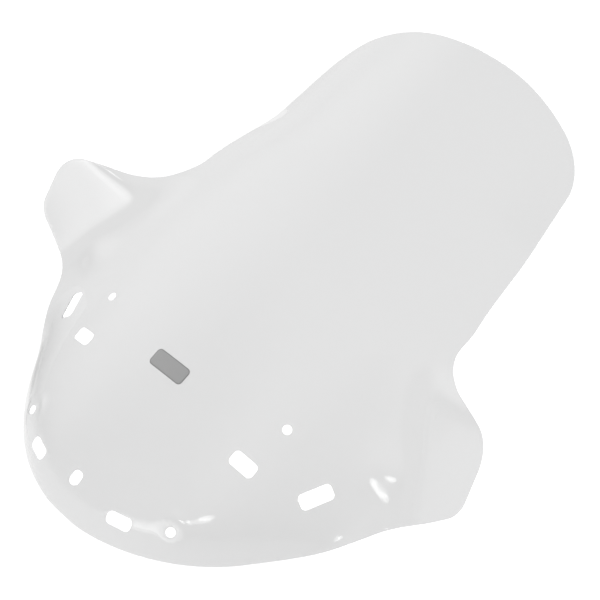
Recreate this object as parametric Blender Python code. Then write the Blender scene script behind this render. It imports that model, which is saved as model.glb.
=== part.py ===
"""Tall motorcycle windshield screen: one thermoformed clear sheet with hand deflector wings.

The sheet is designed in its own frame: `across` runs sideways from the middle, `up` runs along the
chord from the middle of the bottom edge to the middle of the top edge, and `forward` points out of
the front face. The screen then leans back by RAKE, as it does on the machine. In the finished model
the front faces -Y, +Z is up, and the origin is under the middle of the screen's bounding box.
All sizes are in metres.
"""

import math

import bmesh
import bpy
from mathutils import Matrix, Vector
from mathutils.geometry import delaunay_2d_cdt

# Overall size
HEIGHT = 0.708
THICKNESS = 0.003
RAKE = math.radians(40)

# The panel: an arched middle line and a round cross-section that runs out straight at the sides
CROWN = 0.0311
CROWN_UP = 0.2364
LOWER_RADIUS = 0.326
UPPER_RADIUS = 0.248
RADIUS_CHANGE_START = 0.409
RADIUS_CHANGE_END = 0.550
ROUND_HALF_WIDTH = 0.1626

# The wings: the sheet turns forward again beyond a slanting crease, which fades out at the waist
WING_SLOPE = 1.405
CREASE_WIDTH = 0.0296
CREASE_ACROSS = 0.405
CREASE_SLANT = 0.586
CREASE_FADE_START = 0.317
CREASE_FADE_END = 0.424

# The shallow bulge in each crease at the root of the wing: (across, up), height and radius
BULGE_PLACE = (0.231, 0.246)
BULGE_HEIGHT = 0.004
BULGE_RADIUS = 0.022

# The rolled bottom edge, whose line rises towards the sides as RISE_2 x^2 + RISE_4 x^4
ROLL_DEPTH = 0.0271
ROLL_REACH = 0.0153
RISE_2 = 2.3
RISE_4 = 8.0
ROLL_FADE_START = 0.086
ROLL_FADE_END = 0.171

# Half of the outline, from the top middle to the bottom middle: (across, up, corner radius)
OUTLINE = (
    (0.0000, HEIGHT, 0.000),
    (0.0940, 0.7047, 0.278),
    (0.1817, 0.6678, 0.072),
    (0.1948, 0.5384, 0.100),
    (0.2160, 0.3700, 0.064),
    (0.2468, 0.3444, 0.090),
    (0.3141, 0.3088, 0.048),
    (0.3219, 0.2456, 0.020),
    (0.2675, 0.2093, 0.100),
    (0.2323, 0.1460, 0.275),
    (0.1162, 0.0142, 0.244),
    (0.0209, 0.0000, 0.125),
    (0.0000, 0.0000, 0.000),
)
OUTLINE_STEP = 0.012

# Round fixing holes on each side: (across, up). Each sits in a small flat seat for its washer.
ROUND_HOLES = ((0.136, 0.2095), (0.111, 0.0590))
ROUND_RADIUS = 0.0047
SEAT_RADIUS = 0.011
SEAT_BLEND = 0.022
ROUND_SEGMENTS = 16

# Slots on each side: (across, up, length, width, turn in degrees from level)
SIDE_SLOTS = (
    (0.1935, 0.1778, 0.0355, 0.0160, 62),
    (0.1250, 0.1550, 0.0285, 0.0155, 0),
    (0.0645, 0.0343, 0.0265, 0.0130, 15),
)
CENTRE_SLOT = (0.0, 0.0380, 0.0150, 0.0110, 90)
SLOT_CORNER = 0.0048
CORNER_SEGMENTS = 4

# The blank badge foil on the front face
BADGE_UP = 0.184
BADGE_LENGTH = 0.048
BADGE_WIDTH = 0.020
BADGE_CORNER = 0.005
BADGE_THICKNESS = 0.0003
BADGE_GAP = 0.0003

# Distance between the points inside a mesh, and how near its edges they may come
SHEET_SPACING = 0.0145
BADGE_SPACING = 0.006
EDGE_CLEARANCE = 0.55


def smooth_step(value, start, end):
    t = min(max((value - start) / (end - start), 0.0), 1.0)
    return t * t * (3 - 2 * t)


def panel_depth(across, up):
    """How far the plain panel stands forward of the chord, without its wings and rolled edge."""
    middle = CROWN * (1 - ((up - CROWN_UP) / (HEIGHT - CROWN_UP)) ** 2)
    change = smooth_step(up, RADIUS_CHANGE_START, RADIUS_CHANGE_END)
    radius = LOWER_RADIUS + (UPPER_RADIUS - LOWER_RADIUS) * change
    round_part = min(across, ROUND_HALF_WIDTH)
    root = math.sqrt(radius**2 - round_part**2)
    return middle - (radius - root) - (across - round_part) * round_part / root


def wing_lift(across, up):
    """How far a wing turns forward: a hyperbola over the distance from the crease."""
    past_crease = across - (CREASE_ACROSS - CREASE_SLANT * up)
    fade = 1 - smooth_step(up, CREASE_FADE_START, CREASE_FADE_END)
    return fade * WING_SLOPE * (past_crease + math.hypot(past_crease, CREASE_WIDTH)) / 2


def roll_drop(across, up):
    """How far the bottom edge rolls backward, dying away with the distance from the edge."""
    edge_up = RISE_2 * across**2 + RISE_4 * across**4
    distance = max(up - edge_up, 0.0) / math.hypot(1, 2 * RISE_2 * across)
    fade = 1 - smooth_step(edge_up, ROLL_FADE_START, ROLL_FADE_END)
    return fade * ROLL_DEPTH * math.exp(-distance / ROLL_REACH)


def bulge(across, up):
    away = math.hypot(across - BULGE_PLACE[0], up - BULGE_PLACE[1])
    return BULGE_HEIGHT * math.exp(-((away / BULGE_RADIUS) ** 2))


def free_depth(across, up):
    across = abs(across)
    shell = panel_depth(across, up) + wing_lift(across, up) - roll_drop(across, up)
    return shell + bulge(across, up)


def slopes(across, up, step=0.0005):
    """The free surface's slopes sideways and upwards."""
    sideways = free_depth(across + step, up) - free_depth(across - step, up)
    upwards = free_depth(across, up + step) - free_depth(across, up - step)
    return sideways / (2 * step), upwards / (2 * step)


def seats():
    """Each washer seat's centre, depth and slopes, on both sides."""
    result = []
    for side in (-1, 1):
        for across, up in ROUND_HOLES:
            centre = (side * across, up)
            result.append((centre, free_depth(*centre), slopes(*centre)))
    return result


SEATS = seats()


def front_depth(across, up):
    """The front face's forward distance from the chord, flat within each washer seat."""
    depth = free_depth(across, up)
    for centre, seat_depth, (sideways, upwards) in SEATS:
        offset = (across - centre[0], up - centre[1])
        far = smooth_step(math.hypot(*offset), SEAT_RADIUS, SEAT_BLEND)
        if far < 1:
            flat = seat_depth + sideways * offset[0] + upwards * offset[1]
            depth = flat + (depth - flat) * far
    return depth


def front_point(across, up):
    """A point of the front face: X is across, Z is up the chord, and forward is -Y."""
    return Vector((across, -front_depth(across, up), up))


def tangent_frame(across, up):
    """The sideways, upward and outward directions of the front face at a point."""
    sideways, upwards = slopes(across, up)
    outward = Vector((-sideways, -1, -upwards)).normalized()
    level = Vector((1, -sideways, 0)).normalized()
    return level, outward.cross(level), outward


def arc(start, corner, end, radius):
    """The points of a round corner that touches both of its lines."""
    to_start = (start - corner).normalized()
    to_end = (end - corner).normalized()
    half = math.acos(to_start.dot(to_end)) / 2
    middle = (to_start + to_end).normalized()
    centre = corner + middle * radius / math.sin(half)
    first = corner + to_start * radius / math.tan(half) - centre
    last = corner + to_end * radius / math.tan(half) - centre
    sweep = math.pi - 2 * half
    steps = max(3, math.ceil(radius * sweep / OUTLINE_STEP))
    points = []
    for step in range(steps + 1):
        t = step / steps
        blend = math.sin((1 - t) * sweep) * first + math.sin(t * sweep) * last
        points.append(centre + blend / math.sin(sweep))
    return points


def divided(path, step):
    """The path with its long straight runs divided."""
    result = [path[0]]
    for start, end in zip(path, path[1:]):
        pieces = max(1, round((end - start).length / step))
        result += [start.lerp(end, piece / pieces) for piece in range(1, pieces + 1)]
    return result


def half_outline():
    """The outline's right half, from top to bottom, with its corners rounded."""
    corners = [Vector(corner[:2]) for corner in OUTLINE]
    path = [corners[0]]
    for index in range(1, len(corners) - 1):
        radius = OUTLINE[index][2]
        path += arc(corners[index - 1], corners[index], corners[index + 1], radius)
    path.append(corners[-1])
    return divided(path, OUTLINE_STEP)


def whole_outline():
    """The whole outline, counterclockwise from the bottom middle."""
    right = half_outline()[::-1]
    left = [Vector((-point.x, point.y)) for point in reversed(right[1:-1])]
    return right + left


def circle(centre, radius):
    points = []
    for index in range(ROUND_SEGMENTS):
        turn = 2 * math.pi * index / ROUND_SEGMENTS
        points.append(Vector(centre) + radius * Vector((math.cos(turn), math.sin(turn))))
    return points


def on_tangent(centre, points):
    """Lay flat points on the sheet's tangent plane at a centre, and read them as (across, up)."""
    level, rising, _ = tangent_frame(*centre)
    laid = []
    for point in points:
        offset = level * point.x + rising * point.y
        laid.append(Vector((centre[0] + offset.x, centre[1] + offset.z)))
    return laid


def rounded_rectangle(length, width, corner, turn, step):
    points = []
    for quarter in range(4):
        angle = quarter * math.pi / 2
        sign_x = 1 if quarter in (0, 3) else -1
        sign_y = 1 if quarter in (0, 1) else -1
        centre = Vector((sign_x * (length / 2 - corner), sign_y * (width / 2 - corner)))
        for segment in range(CORNER_SEGMENTS + 1):
            along = angle + segment * math.pi / 2 / CORNER_SEGMENTS
            points.append(centre + corner * Vector((math.cos(along), math.sin(along))))
    turned = Matrix.Rotation(turn, 2)
    return [turned @ point for point in divided(points + points[:1], step)[:-1]]


def slot_loop(slot, side):
    across, up, length, width, turn = slot
    shape = rounded_rectangle(
        length, width, SLOT_CORNER, side * math.radians(turn), OUTLINE_STEP
    )
    return on_tangent((side * across, up), shape)


def hole_loops():
    loops = [slot_loop(CENTRE_SLOT, 1)]
    for side in (-1, 1):
        loops += [slot_loop(slot, side) for slot in SIDE_SLOTS]
        for across, up in ROUND_HOLES:
            loops.append(on_tangent((side * across, up), circle((0, 0), ROUND_RADIUS)))
    return loops


def seat_loops():
    loops = []
    for side in (-1, 1):
        for across, up in ROUND_HOLES:
            loops.append(circle((side * across, up), SEAT_RADIUS))
    return loops


def inner_points(loops, spacing):
    """A square grid of points, clear of every loop's line."""
    edge = [point for loop in loops for point in loop]
    columns = math.ceil(max(point.x for point in edge) / spacing)
    lowest = min(point.y for point in edge)
    rows = math.ceil((max(point.y for point in edge) - lowest) / spacing)
    points = []
    for column in range(-columns, columns + 1):
        for row in range(rows + 1):
            point = Vector((column * spacing, lowest + row * spacing))
            if all((point - other).length > EDGE_CLEARANCE * spacing for other in edge):
                points.append(point)
    return points


def flat_triangles(outline, holes, lines, spacing):
    """Triangulate an outline with holes. The lines are kept as edges of the triangles."""
    loops = [outline] + holes + lines
    points = []
    edges = []
    faces = []
    for loop in loops:
        first = len(points)
        count = len(loop)
        points += loop
        if len(faces) <= len(holes):
            faces.append(list(range(first, first + count)))
        else:
            edges += [(first + i, first + (i + 1) % count) for i in range(count)]
    points += inner_points(loops, spacing)
    inside_constraints = 1
    result = delaunay_2d_cdt(points, edges, faces, inside_constraints, 1e-6)
    triangles = [
        face for face, sources in zip(result[2], result[5]) if list(sources) == [0]
    ]
    return result[0], triangles


def surface_object(name, outline, holes, lines, spacing, lift, thickness):
    """A sheet that follows the front face at a given lift, and is thickened towards its back."""
    points, triangles = flat_triangles(outline, holes, lines, spacing)
    mesh = bpy.data.meshes.new(name)
    shape = bmesh.new()
    corners = []
    for across, up in points:
        outward = tangent_frame(across, up)[2]
        corners.append(shape.verts.new(front_point(across, up) + outward * lift))
    for triangle in triangles:
        shape.faces.new([corners[index] for index in triangle])
    loose = [vert for vert in shape.verts if not vert.link_faces]
    bmesh.ops.delete(shape, geom=loose, context="VERTS")
    bmesh.ops.recalc_face_normals(shape, faces=shape.faces[:])
    shape.faces.ensure_lookup_table()
    if shape.faces[0].normal.y > 0:
        bmesh.ops.reverse_faces(shape, faces=shape.faces[:])
    shape.to_mesh(mesh)
    shape.free()
    sheet = bpy.data.objects.new(name, mesh)
    bpy.context.collection.objects.link(sheet)
    thicken = sheet.modifiers.new("thickness", "SOLIDIFY")
    thicken.thickness = thickness
    thicken.offset = -1
    thicken.use_even_offset = True
    mesh.shade_smooth()
    mesh.set_sharp_from_angle(angle=math.radians(40))
    return sheet


def material(name, colour, roughness, metallic, alpha):
    made = bpy.data.materials.new(name)
    made.use_nodes = True
    shader = made.node_tree.nodes["Principled BSDF"]
    shader.inputs["Base Color"].default_value = (*colour, 1)
    shader.inputs["Roughness"].default_value = roughness
    shader.inputs["Metallic"].default_value = metallic
    shader.inputs["Alpha"].default_value = alpha
    return made


def windshield_screen():
    sheet = surface_object(
        "windshield_screen",
        whole_outline(),
        hole_loops(),
        seat_loops(),
        SHEET_SPACING,
        0.0,
        THICKNESS,
    )
    sheet.data.materials.append(material("clear_sheet", (0.80, 0.81, 0.82), 0.04, 0.0, 0.35))
    return sheet


def blank_badge():
    shape = rounded_rectangle(BADGE_LENGTH, BADGE_WIDTH, BADGE_CORNER, 0.0, BADGE_SPACING)
    outline = on_tangent((0.0, BADGE_UP), shape)
    lift = BADGE_GAP + BADGE_THICKNESS
    badge = surface_object(
        "blank_badge", outline, [], [], BADGE_SPACING, lift, BADGE_THICKNESS
    )
    badge.data.materials.append(material("badge_foil", (0.33, 0.34, 0.35), 0.35, 0.0, 1.0))
    return badge


def lean_back(pieces):
    """Rake the pieces back under one empty, and stand them on the origin by their box."""
    rake = bpy.data.objects.new("rake", None)
    bpy.context.collection.objects.link(rake)
    rake.rotation_euler.x = -RAKE
    for piece in pieces:
        piece.parent = rake
    bpy.context.view_layer.update()
    depsgraph = bpy.context.evaluated_depsgraph_get()
    corners = []
    for piece in pieces:
        solid = piece.evaluated_get(depsgraph)
        corners += [solid.matrix_world @ vert.co for vert in solid.data.vertices]
    depths = [corner.y for corner in corners]
    lowest = min(corner.z for corner in corners)
    rake.location = (0, -(min(depths) + max(depths)) / 2, -lowest)


def main():
    for old in list(bpy.data.objects):
        bpy.data.objects.remove(old, do_unlink=True)
    lean_back([windshield_screen(), blank_badge()])


main()
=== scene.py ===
"""The looks of a tall motorcycle windshield screen: a clear thermoformed sheet with a blank badge.

The sheet is drawn in its own frame: `across` runs sideways from the middle, `up` along the chord
from the bottom edge to the top edge, and `forward` out of the front face. It leans back by RAKE, and
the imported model's box says where it stands. All sizes are in metres.
"""

import math

import bmesh
import bpy
from mathutils import Matrix, Vector
from mathutils.geometry import delaunay_2d_cdt
from mathutils.kdtree import KDTree

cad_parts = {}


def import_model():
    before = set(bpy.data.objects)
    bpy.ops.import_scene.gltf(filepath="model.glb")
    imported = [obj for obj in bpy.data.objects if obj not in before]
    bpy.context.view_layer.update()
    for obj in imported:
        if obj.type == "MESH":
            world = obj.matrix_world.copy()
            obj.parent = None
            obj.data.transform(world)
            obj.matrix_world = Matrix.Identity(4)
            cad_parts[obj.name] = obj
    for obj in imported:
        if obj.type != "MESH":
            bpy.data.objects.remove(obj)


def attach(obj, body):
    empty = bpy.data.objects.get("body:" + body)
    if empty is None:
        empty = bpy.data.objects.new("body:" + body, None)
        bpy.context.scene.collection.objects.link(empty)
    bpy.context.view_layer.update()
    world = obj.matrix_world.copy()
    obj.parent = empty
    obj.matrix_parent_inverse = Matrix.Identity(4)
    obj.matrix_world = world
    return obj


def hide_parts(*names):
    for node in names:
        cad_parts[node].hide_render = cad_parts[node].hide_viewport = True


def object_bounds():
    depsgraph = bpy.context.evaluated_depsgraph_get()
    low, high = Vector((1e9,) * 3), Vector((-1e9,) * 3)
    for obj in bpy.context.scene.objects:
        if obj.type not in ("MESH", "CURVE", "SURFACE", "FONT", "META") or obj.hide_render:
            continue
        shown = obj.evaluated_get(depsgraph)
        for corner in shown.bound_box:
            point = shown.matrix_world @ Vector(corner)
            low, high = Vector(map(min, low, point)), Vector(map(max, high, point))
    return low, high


# The design, as in the CAD model
HEIGHT = 0.708
THICKNESS = 0.003
RAKE = math.radians(40)
CROWN = 0.0311
CROWN_UP = 0.2364
LOWER_RADIUS = 0.326
UPPER_RADIUS = 0.248
RADIUS_CHANGE_START = 0.409
RADIUS_CHANGE_END = 0.550
ROUND_HALF_WIDTH = 0.1626
WING_SLOPE = 1.405
CREASE_WIDTH = 0.0296
CREASE_ACROSS = 0.405
CREASE_SLANT = 0.586
CREASE_FADE_START = 0.317
CREASE_FADE_END = 0.424
ROLL_DEPTH = 0.0271
ROLL_REACH = 0.0153
RISE_2 = 2.3
RISE_4 = 8.0
ROLL_FADE_START = 0.086
ROLL_FADE_END = 0.171
BULGE_PLACE = (0.231, 0.246)
BULGE_HEIGHT = 0.004
BULGE_RADIUS = 0.022
OUTLINE = (
    (0.0000, HEIGHT, 0.000),
    (0.0940, 0.7047, 0.278),
    (0.1817, 0.6678, 0.072),
    (0.1948, 0.5384, 0.100),
    (0.2160, 0.3700, 0.064),
    (0.2468, 0.3444, 0.090),
    (0.3141, 0.3088, 0.048),
    (0.3218, 0.2456, 0.020),
    (0.2675, 0.2093, 0.100),
    (0.2323, 0.1460, 0.275),
    (0.1162, 0.0142, 0.244),
    (0.0209, 0.0000, 0.125),
    (0.0000, 0.0000, 0.000),
)
ROUND_HOLES = ((0.136, 0.2095), (0.111, 0.0590))
ROUND_RADIUS = 0.0047
SEAT_RADIUS = 0.011
SEAT_BLEND = 0.022
SIDE_SLOTS = (
    (0.1935, 0.1778, 0.0355, 0.0160, 62),
    (0.1250, 0.1550, 0.0285, 0.0155, 0),
    (0.0645, 0.0343, 0.0265, 0.0130, 15),
)
CENTRE_SLOT = (0.0, 0.0380, 0.0150, 0.0110, 90)
SLOT_CORNER = 0.0048
BADGE_UP = 0.184
BADGE_LENGTH = 0.048
BADGE_WIDTH = 0.020
BADGE_CORNER = 0.005
BADGE_THICKNESS = 0.0003
BADGE_GAP = 0.0003

# How fine the visible meshes are
OUTLINE_STEP = 0.003
CORNER_SEGMENTS = 8
CIRCLE_SEGMENTS = 36
SHEET_SPACING = 0.0042
EDGE_CLEARANCE = 0.55
EDGE_ROUNDING = 0.12
BADGE_SPACING = 0.002

# The badge's two layers: a border sheet, and a narrower face that lies on top of it
BORDER_WIDTH = 0.0012
BORDER_SINK = 0.0001
BORDER_THICKNESS = 0.0002
FACE_THICKNESS = 0.00008

# The light that a shadow ray keeps on its way through the clear sheet
SHADOW_TINT = (0.87, 0.87, 0.875)

# The camera in the sheet's own frame (across, up, forward), its turn about its own axis, and its lens
CAMERA_PLACE = (0.5461, 0.0838, 0.9232)
CAMERA_TARGET = (0.0478, 0.3300, 0.0)
CAMERA_ROLL = math.radians(41.0)
LENS_MM = 60.0

# The studio that the sheet reflects: a base level, and soft areas by azimuth (from -Y towards +X),
# elevation, the angles where each is full and where it ends, and the light it adds
STUDIO_MIDDLE = (0.0, 0.0, 0.25)
STUDIO_BASE = 0.8
DIM_RIGHT_SIDE = (60, -5, 0, 60, -0.8)
DIM_LEFT_SIDE = (-70, -10, 0, 30, -0.5)
DIM_FRONT = (-15, 10, 30, 45, -0.3)
PALE_LEFT_SIDE = (-75, 35, 5, 35, 0.35)
LOW_WINDOW = (15, -5, 0, 20, 2.5)
LAMP = (30, 22, 1.2, 3.0, 4.2)
STUDIO = (DIM_RIGHT_SIDE, DIM_LEFT_SIDE, DIM_FRONT, PALE_LEFT_SIDE, LOW_WINDOW, LAMP)

# The white backdrop that is seen directly or through the sheet. The floor also scatters light, so its
# own glow is less.
BACKDROP_LEVEL = 1.14
FLOOR_GLOW = 0.93
FLOOR_HALF_WIDTH = 12.0
FLOOR_GAP = 0.0005


def smooth_step(value, start, end):
    t = min(max((value - start) / (end - start), 0.0), 1.0)
    return t * t * (3 - 2 * t)


def panel_depth(across, up):
    """How far the plain panel stands forward of the chord."""
    middle = CROWN * (1 - ((up - CROWN_UP) / (HEIGHT - CROWN_UP)) ** 2)
    change = smooth_step(up, RADIUS_CHANGE_START, RADIUS_CHANGE_END)
    radius = LOWER_RADIUS + (UPPER_RADIUS - LOWER_RADIUS) * change
    round_part = min(across, ROUND_HALF_WIDTH)
    root = math.sqrt(radius**2 - round_part**2)
    return middle - (radius - root) - (across - round_part) * round_part / root


def wing_lift(across, up):
    """How far a wing turns forward beyond its crease."""
    past_crease = across - (CREASE_ACROSS - CREASE_SLANT * up)
    fade = 1 - smooth_step(up, CREASE_FADE_START, CREASE_FADE_END)
    return fade * WING_SLOPE * (past_crease + math.hypot(past_crease, CREASE_WIDTH)) / 2


def roll_drop(across, up):
    """How far the bottom edge rolls backward."""
    edge_up = RISE_2 * across**2 + RISE_4 * across**4
    distance = max(up - edge_up, 0.0) / math.hypot(1, 2 * RISE_2 * across)
    fade = 1 - smooth_step(edge_up, ROLL_FADE_START, ROLL_FADE_END)
    return fade * ROLL_DEPTH * math.exp(-distance / ROLL_REACH)


def bulge(across, up):
    """The shallow bulge in the crease at the root of a wing."""
    away = math.hypot(across - BULGE_PLACE[0], up - BULGE_PLACE[1])
    return BULGE_HEIGHT * math.exp(-((away / BULGE_RADIUS) ** 2))


def free_depth(across, up):
    across = abs(across)
    shell = panel_depth(across, up) + wing_lift(across, up) - roll_drop(across, up)
    return shell + bulge(across, up)


def slopes(across, up, step=0.0005):
    sideways = free_depth(across + step, up) - free_depth(across - step, up)
    upwards = free_depth(across, up + step) - free_depth(across, up - step)
    return sideways / (2 * step), upwards / (2 * step)


def seats():
    """Each washer seat's centre, depth and slopes, on both sides."""
    result = []
    for side in (-1, 1):
        for across, up in ROUND_HOLES:
            centre = (side * across, up)
            result.append((centre, free_depth(*centre), slopes(*centre)))
    return result


SEATS = seats()


def front_depth(across, up):
    """The front face's forward distance from the chord, flat within each washer seat."""
    depth = free_depth(across, up)
    for centre, seat_depth, (sideways, upwards) in SEATS:
        offset = (across - centre[0], up - centre[1])
        far = smooth_step(math.hypot(*offset), SEAT_RADIUS, SEAT_BLEND)
        if far < 1:
            flat = seat_depth + sideways * offset[0] + upwards * offset[1]
            depth = flat + (depth - flat) * far
    return depth


def in_frame(across, up, forward):
    """A point of the sheet's own frame: X is across, Z is up the chord, and forward is -Y."""
    return Vector((across, -forward, up))


def tangent_frame(across, up):
    """The sideways, upward and outward directions of the front face at a point."""
    sideways, upwards = slopes(across, up)
    outward = Vector((-sideways, -1, -upwards)).normalized()
    level = Vector((1, -sideways, 0)).normalized()
    return level, outward.cross(level), outward


def arc(start, corner, end, radius):
    """The points of a round corner that touches both of its lines."""
    to_start = (start - corner).normalized()
    to_end = (end - corner).normalized()
    half = math.acos(to_start.dot(to_end)) / 2
    middle = (to_start + to_end).normalized()
    centre = corner + middle * radius / math.sin(half)
    first = corner + to_start * radius / math.tan(half) - centre
    last = corner + to_end * radius / math.tan(half) - centre
    sweep = math.pi - 2 * half
    steps = max(3, math.ceil(radius * sweep / OUTLINE_STEP))
    points = []
    for step in range(steps + 1):
        t = step / steps
        blend = math.sin((1 - t) * sweep) * first + math.sin(t * sweep) * last
        points.append(centre + blend / math.sin(sweep))
    return points


def divided(path, step):
    """The path with its long straight runs divided."""
    result = [path[0]]
    for start, end in zip(path, path[1:]):
        pieces = max(1, round((end - start).length / step))
        result += [start.lerp(end, piece / pieces) for piece in range(1, pieces + 1)]
    return result


def whole_outline():
    """The whole outline, counterclockwise from the bottom middle."""
    corners = [Vector(corner[:2]) for corner in OUTLINE]
    path = [corners[0]]
    for index in range(1, len(corners) - 1):
        radius = OUTLINE[index][2]
        path += arc(corners[index - 1], corners[index], corners[index + 1], radius)
    path.append(corners[-1])
    right = divided(path, OUTLINE_STEP)[::-1]
    left = [Vector((-point.x, point.y)) for point in reversed(right[1:-1])]
    return right + left


def circle(centre, radius):
    points = []
    for index in range(CIRCLE_SEGMENTS):
        turn = 2 * math.pi * index / CIRCLE_SEGMENTS
        points.append(Vector(centre) + radius * Vector((math.cos(turn), math.sin(turn))))
    return points


def rounded_rectangle(length, width, corner, turn, step):
    points = []
    for quarter in range(4):
        angle = quarter * math.pi / 2
        sign_x = 1 if quarter in (0, 3) else -1
        sign_y = 1 if quarter in (0, 1) else -1
        centre = Vector((sign_x * (length / 2 - corner), sign_y * (width / 2 - corner)))
        for segment in range(CORNER_SEGMENTS + 1):
            along = angle + segment * math.pi / 2 / CORNER_SEGMENTS
            points.append(centre + corner * Vector((math.cos(along), math.sin(along))))
    turned = Matrix.Rotation(turn, 2)
    return [turned @ point for point in divided(points + points[:1], step)[:-1]]


def on_tangent(centre, points):
    """Lay flat points on the sheet's tangent plane at a centre, and read them as (across, up)."""
    level, rising, _ = tangent_frame(*centre)
    laid = []
    for point in points:
        offset = level * point.x + rising * point.y
        laid.append(Vector((centre[0] + offset.x, centre[1] + offset.z)))
    return laid


def slot_loop(slot, side):
    across, up, length, width, turn = slot
    shape = rounded_rectangle(length, width, SLOT_CORNER, side * math.radians(turn), OUTLINE_STEP)
    return on_tangent((side * across, up), shape)


def hole_loops():
    loops = [slot_loop(CENTRE_SLOT, 1)]
    for side in (-1, 1):
        loops += [slot_loop(slot, side) for slot in SIDE_SLOTS]
        for across, up in ROUND_HOLES:
            loops.append(on_tangent((side * across, up), circle((0, 0), ROUND_RADIUS)))
    return loops


def inner_points(loops, spacing):
    """A grid of points, clear of every loop's line."""
    edge = [point for loop in loops for point in loop]
    tree = KDTree(len(edge))
    for index, point in enumerate(edge):
        tree.insert(point.to_3d(), index)
    tree.balance()
    columns = math.ceil(max(point.x for point in edge) / spacing)
    lowest = min(point.y for point in edge)
    rows = math.ceil((max(point.y for point in edge) - lowest) / spacing)
    points = []
    for column in range(-columns, columns + 1):
        for row in range(rows + 1):
            point = Vector((column * spacing, lowest + row * spacing))
            if tree.find(point.to_3d())[2] > EDGE_CLEARANCE * spacing:
                points.append(point)
    return points


def flat_triangles(outline, holes, spacing):
    """Triangulate an outline with holes."""
    loops = [outline] + holes
    points = []
    faces = []
    for loop in loops:
        faces.append(list(range(len(points), len(points) + len(loop))))
        points += loop
    points += inner_points(loops, spacing)
    inside_constraints = 1
    result = delaunay_2d_cdt(points, [], faces, inside_constraints, 1e-6)
    triangles = [
        face for face, sources in zip(result[2], result[5]) if list(sources) == [0]
    ]
    return result[0], triangles


def surface_object(name, outline, holes, spacing, lift, thickness, materials):
    """A sheet that follows the front face at a given lift, thickened towards its back, with rounded
    edges. Its materials are those of its faces and of its edges."""
    points, triangles = flat_triangles(outline, holes, spacing)
    shape = bmesh.new()
    corners = []
    for across, up in points:
        outward = tangent_frame(across, up)[2]
        front = in_frame(across, up, front_depth(across, up))
        corners.append(shape.verts.new(front + outward * lift))
    for triangle in triangles:
        shape.faces.new([corners[index] for index in triangle])
    loose = [vert for vert in shape.verts if not vert.link_faces]
    bmesh.ops.delete(shape, geom=loose, context="VERTS")
    bmesh.ops.recalc_face_normals(shape, faces=shape.faces[:])
    shape.faces.ensure_lookup_table()
    if shape.faces[0].normal.y > 0:
        bmesh.ops.reverse_faces(shape, faces=shape.faces[:])
    mesh = bpy.data.meshes.new(name)
    shape.to_mesh(mesh)
    shape.free()
    sheet = bpy.data.objects.new(name, mesh)
    bpy.context.collection.objects.link(sheet)
    thicken = sheet.modifiers.new("thickness", "SOLIDIFY")
    thicken.thickness = thickness
    thicken.offset = -1
    thicken.use_even_offset = True
    thicken.material_offset_rim = 1
    rounding = sheet.modifiers.new("rounded_edge", "BEVEL")
    rounding.width = thickness * EDGE_ROUNDING
    rounding.segments = 3
    rounding.limit_method = "ANGLE"
    rounding.angle_limit = math.radians(60)
    rounding.material = 1
    for made in materials:
        mesh.materials.append(made)
    mesh.shade_smooth()
    return sheet


def noise_colour(made, scale, detail, darkest, lightest):
    """Give a material a base colour that wanders between two tones."""
    nodes = made.node_tree.nodes
    links = made.node_tree.links
    place = nodes.new("ShaderNodeTexCoord")
    noise = nodes.new("ShaderNodeTexNoise")
    noise.inputs["Scale"].default_value = scale
    noise.inputs["Detail"].default_value = detail
    ramp = nodes.new("ShaderNodeValToRGB")
    ramp.color_ramp.elements[0].color = (*darkest, 1)
    ramp.color_ramp.elements[1].color = (*lightest, 1)
    links.new(place.outputs["Object"], noise.inputs["Vector"])
    links.new(noise.outputs["Fac"], ramp.inputs["Fac"])
    links.new(ramp.outputs["Color"], nodes["Principled BSDF"].inputs["Base Color"])


def let_light_through(made):
    """Make a glass material pass light straight on, with a tint, instead of casting a shadow."""
    nodes = made.node_tree.nodes
    links = made.node_tree.links
    path = nodes.new("ShaderNodeLightPath")
    open_way = nodes.new("ShaderNodeBsdfTransparent")
    open_way.inputs["Color"].default_value = (*SHADOW_TINT, 1)
    mix = nodes.new("ShaderNodeMixShader")
    links.new(path.outputs["Is Shadow Ray"], mix.inputs["Fac"])
    links.new(nodes["Principled BSDF"].outputs["BSDF"], mix.inputs[1])
    links.new(open_way.outputs["BSDF"], mix.inputs[2])
    links.new(mix.outputs["Shader"], nodes["Material Output"].inputs["Surface"])


def edge_material():
    """The cut edge: it is finely frosted, and has a painted glow, an even white emission that makes it
    light though it is no lamp.
    """
    made = bpy.data.materials.new("polished_edge_painted_glow")
    made.use_nodes = True
    shader = made.node_tree.nodes["Principled BSDF"]
    shader.inputs["Roughness"].default_value = 0.35
    shader.inputs["IOR"].default_value = 1.04
    shader.inputs["Transmission Weight"].default_value = 0.6
    # Painted glow: the edge gives off an even white light of its own, though it is no lamp
    shader.inputs["Emission Color"].default_value = (1, 1, 1, 1)
    shader.inputs["Emission Strength"].default_value = 0.45
    noise_colour(made, 60.0, 2.0, (0.88, 0.885, 0.89), (0.97, 0.97, 0.97))
    let_light_through(made)
    return made


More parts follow.
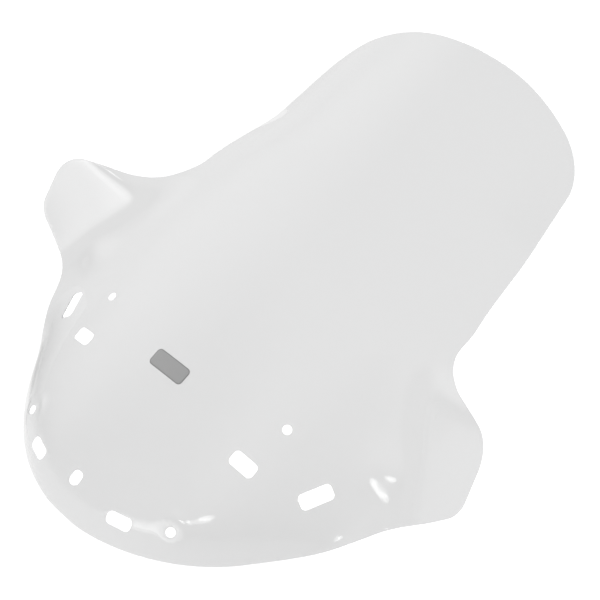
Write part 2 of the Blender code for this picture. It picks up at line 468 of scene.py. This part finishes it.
def clear_sheet_material():
    """The clear sheet: glass with a light grey tint and the slightest waves in its faces."""
    made = bpy.data.materials.new("clear_sheet")
    made.use_nodes = True
    nodes = made.node_tree.nodes
    links = made.node_tree.links
    shader = nodes["Principled BSDF"]
    shader.inputs["Roughness"].default_value = 0.04
    shader.inputs["IOR"].default_value = 1.49
    shader.inputs["Transmission Weight"].default_value = 1.0
    place = nodes.new("ShaderNodeTexCoord")
    waves = nodes.new("ShaderNodeTexNoise")
    waves.inputs["Scale"].default_value = 9.0
    waves.inputs["Detail"].default_value = 1.0
    bump = nodes.new("ShaderNodeBump")
    bump.inputs["Strength"].default_value = 0.04
    bump.inputs["Distance"].default_value = 0.002
    links.new(place.outputs["Object"], waves.inputs["Vector"])
    links.new(waves.outputs["Fac"], bump.inputs["Height"])
    links.new(bump.outputs["Normal"], shader.inputs["Normal"])
    noise_colour(made, 5.0, 3.0, (0.664, 0.665, 0.667), (0.677, 0.677, 0.677))
    let_light_through(made)
    return made


def badge_material(name, darkest, lightest, roughness):
    """Satin grey foil with a fine grain between two grey levels."""
    made = bpy.data.materials.new(name)
    made.use_nodes = True
    made.node_tree.nodes["Principled BSDF"].inputs["Roughness"].default_value = roughness
    noise_colour(made, 900.0, 2.0, (darkest, darkest, darkest), (lightest, lightest, lightest))
    return made


def clear_sheet():
    materials = [clear_sheet_material(), edge_material()]
    sheet = surface_object(
        "clear_sheet", whole_outline(), hole_loops(), SHEET_SPACING, 0.0, THICKNESS, materials
    )
    # The far wing would otherwise show as a ghost in the near one's faces
    sheet.visible_glossy = False
    return sheet


def badge(name, inset, lift, thickness, made):
    """A blank rounded plate that follows the sheet, with its face at a given lift."""
    length = BADGE_LENGTH - 2 * inset
    width = BADGE_WIDTH - 2 * inset
    shape = rounded_rectangle(length, width, BADGE_CORNER - inset, 0.0, BADGE_SPACING)
    outline = on_tangent((0.0, BADGE_UP), shape)
    return surface_object(name, outline, [], BADGE_SPACING, lift, thickness, [made, made])


def set_down(pieces, box):
    """Rake the pieces back, and place them by the CAD model's box. Returns the matrix that does it."""
    lean = Matrix.Rotation(-RAKE, 4, "X")
    bpy.context.view_layer.update()
    depsgraph = bpy.context.evaluated_depsgraph_get()
    corners = []
    for piece in pieces:
        corners += [lean @ vert.co for vert in piece.evaluated_get(depsgraph).data.vertices]
    depths = [corner.y for corner in corners]
    lowest = min(corner.z for corner in corners)
    middle = (box[0][1] + box[1][1]) / 2
    shift = Vector((0, middle - (min(depths) + max(depths)) / 2, box[0][2] - lowest))
    place = Matrix.Translation(shift) @ lean
    for piece in pieces:
        piece.data.transform(place)
    return place


def floor(height):
    """A wide white floor that glows like the backdrop, and like the studio in reflections."""
    mesh = bpy.data.meshes.new("floor")
    half = FLOOR_HALF_WIDTH
    corners = [(x, y, height) for x, y in ((-half, -half), (half, -half), (half, half), (-half, half))]
    mesh.from_pydata(corners, [], [(0, 1, 2, 3)])
    plane = bpy.data.objects.new("floor", mesh)
    bpy.context.collection.objects.link(plane)
    made = bpy.data.materials.new("floor")
    made.use_nodes = True
    tree = made.node_tree
    shader = tree.nodes["Principled BSDF"]
    shader.inputs["Base Color"].default_value = (0.28, 0.28, 0.28, 1)
    shader.inputs["Roughness"].default_value = 0.9
    shader.inputs["Specular IOR Level"].default_value = 0.0
    shader.inputs["Emission Color"].default_value = (1, 1, 1, 1)
    spot = tree.nodes.new("ShaderNodeNewGeometry")
    away = tree.nodes.new("ShaderNodeVectorMath")
    away.operation = "SUBTRACT"
    away.inputs[1].default_value = STUDIO_MIDDLE
    tree.links.new(spot.outputs["Position"], away.inputs[0])
    way = tree.nodes.new("ShaderNodeVectorMath")
    way.operation = "NORMALIZE"
    tree.links.new(away.outputs["Vector"], way.inputs[0])
    level = studio_level(tree, way.outputs["Vector"])
    tree.links.new(either_level(tree, level, FLOOR_GLOW), shader.inputs["Emission Strength"])
    mesh.materials.append(made)


def direction(azimuth, elevation):
    """A direction by its azimuth, turned from -Y towards +X, and its elevation, in degrees."""
    turn = math.radians(azimuth)
    rise = math.radians(elevation)
    return Vector((math.sin(turn) * math.cos(rise), -math.cos(turn) * math.cos(rise), math.sin(rise)))


def studio_level(tree, way):
    """The level of the studio's light along a direction socket."""
    nodes = tree.nodes
    links = tree.links
    total = None
    for azimuth, elevation, full, end, amount in STUDIO:
        near = nodes.new("ShaderNodeVectorMath")
        near.operation = "DOT_PRODUCT"
        near.inputs[1].default_value = direction(azimuth, elevation)
        links.new(way, near.inputs[0])
        area = nodes.new("ShaderNodeMapRange")
        area.interpolation_type = "SMOOTHSTEP"
        area.inputs["From Min"].default_value = math.cos(math.radians(end))
        area.inputs["From Max"].default_value = math.cos(math.radians(full))
        area.inputs["To Min"].default_value = 0.0
        area.inputs["To Max"].default_value = amount
        links.new(near.outputs["Value"], area.inputs["Value"])
        add = nodes.new("ShaderNodeMath")
        add.inputs[1].default_value = STUDIO_BASE
        links.new(area.outputs["Result"], add.inputs[0])
        if total:
            links.new(total, add.inputs[1])
        total = add.outputs["Value"]
    return total


def seen_straight(tree):
    """A socket that is 1 for what is seen directly or through the sheet, and not in a reflection."""
    path = tree.nodes.new("ShaderNodeLightPath")
    either = tree.nodes.new("ShaderNodeMath")
    either.operation = "MAXIMUM"
    tree.links.new(path.outputs["Is Camera Ray"], either.inputs[0])
    tree.links.new(path.outputs["Is Transmission Ray"], either.inputs[1])
    mirrored = tree.nodes.new("ShaderNodeMath")
    mirrored.operation = "LESS_THAN"
    mirrored.inputs[1].default_value = 0.5
    tree.links.new(path.outputs["Glossy Depth"], mirrored.inputs[0])
    straight = tree.nodes.new("ShaderNodeMath")
    straight.operation = "MULTIPLY"
    tree.links.new(either.outputs["Value"], straight.inputs[0])
    tree.links.new(mirrored.outputs["Value"], straight.inputs[1])
    return straight.outputs["Value"]


def either_level(tree, level, straight_level):
    """The studio's level for reflections, and one even level for what is seen straight."""
    mix = tree.nodes.new("ShaderNodeMix")
    mix.inputs["B"].default_value = straight_level
    tree.links.new(seen_straight(tree), mix.inputs["Factor"])
    tree.links.new(level, mix.inputs["A"])
    return mix.outputs["Result"]


def world():
    """A white backdrop, and for reflections a soft studio of pale and dim areas."""
    made = bpy.data.worlds.new("studio")
    made.use_nodes = True
    tree = made.node_tree
    place = tree.nodes.new("ShaderNodeTexCoord")
    level = studio_level(tree, place.outputs["Generated"])
    background = tree.nodes["Background"]
    background.inputs["Color"].default_value = (1, 1, 1, 1)
    tree.links.new(either_level(tree, level, BACKDROP_LEVEL), background.inputs["Strength"])
    bpy.context.scene.world = made
    bpy.context.scene.view_settings.view_transform = "Standard"


def camera(place):
    """A camera that looks from CAMERA_PLACE to CAMERA_TARGET, turned about its own axis."""
    eye = place @ in_frame(*CAMERA_PLACE)
    target = place @ in_frame(*CAMERA_TARGET)
    chord = (place.to_3x3() @ Vector((0, 0, 1))).normalized()
    forward = (target - eye).normalized()
    level = forward.cross(chord).normalized()
    right = Matrix.Rotation(-CAMERA_ROLL, 3, forward) @ level
    rising = right.cross(forward)
    lens = bpy.data.cameras.new("camera")
    lens.lens = LENS_MM
    taker = bpy.data.objects.new("camera", lens)
    turn = Matrix((right, rising, -forward)).transposed()
    taker.matrix_world = Matrix.Translation(eye) @ turn.to_4x4()
    bpy.context.collection.objects.link(taker)
    bpy.context.scene.camera = taker


def light_paths():
    """Give light enough turns to find its way out of the sheet's edges."""
    paths = bpy.context.scene.cycles
    paths.max_bounces = 32
    paths.glossy_bounces = 24
    paths.transmission_bounces = 32


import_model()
cad_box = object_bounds()

sheet = clear_sheet()
foil = badge_material("badge_foil", 0.43, 0.51, 0.38)
dark_foil = badge_material("badge_border", 0.30, 0.38, 0.30)
badge_top = BADGE_GAP + BADGE_THICKNESS
border = badge("badge_border", 0.0, badge_top - BORDER_SINK, BORDER_THICKNESS, dark_foil)
face = badge("badge_face", BORDER_WIDTH, badge_top, FACE_THICKNESS, foil)
pieces = [sheet, border, face]
place = set_down(pieces, cad_box)
for piece in pieces:
    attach(piece, "root")
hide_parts("windshield_screen")
for piece in (border, face):
    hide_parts("blank_badge")

floor(cad_box[0][2] - FLOOR_GAP)
world()
camera(place)
light_paths()
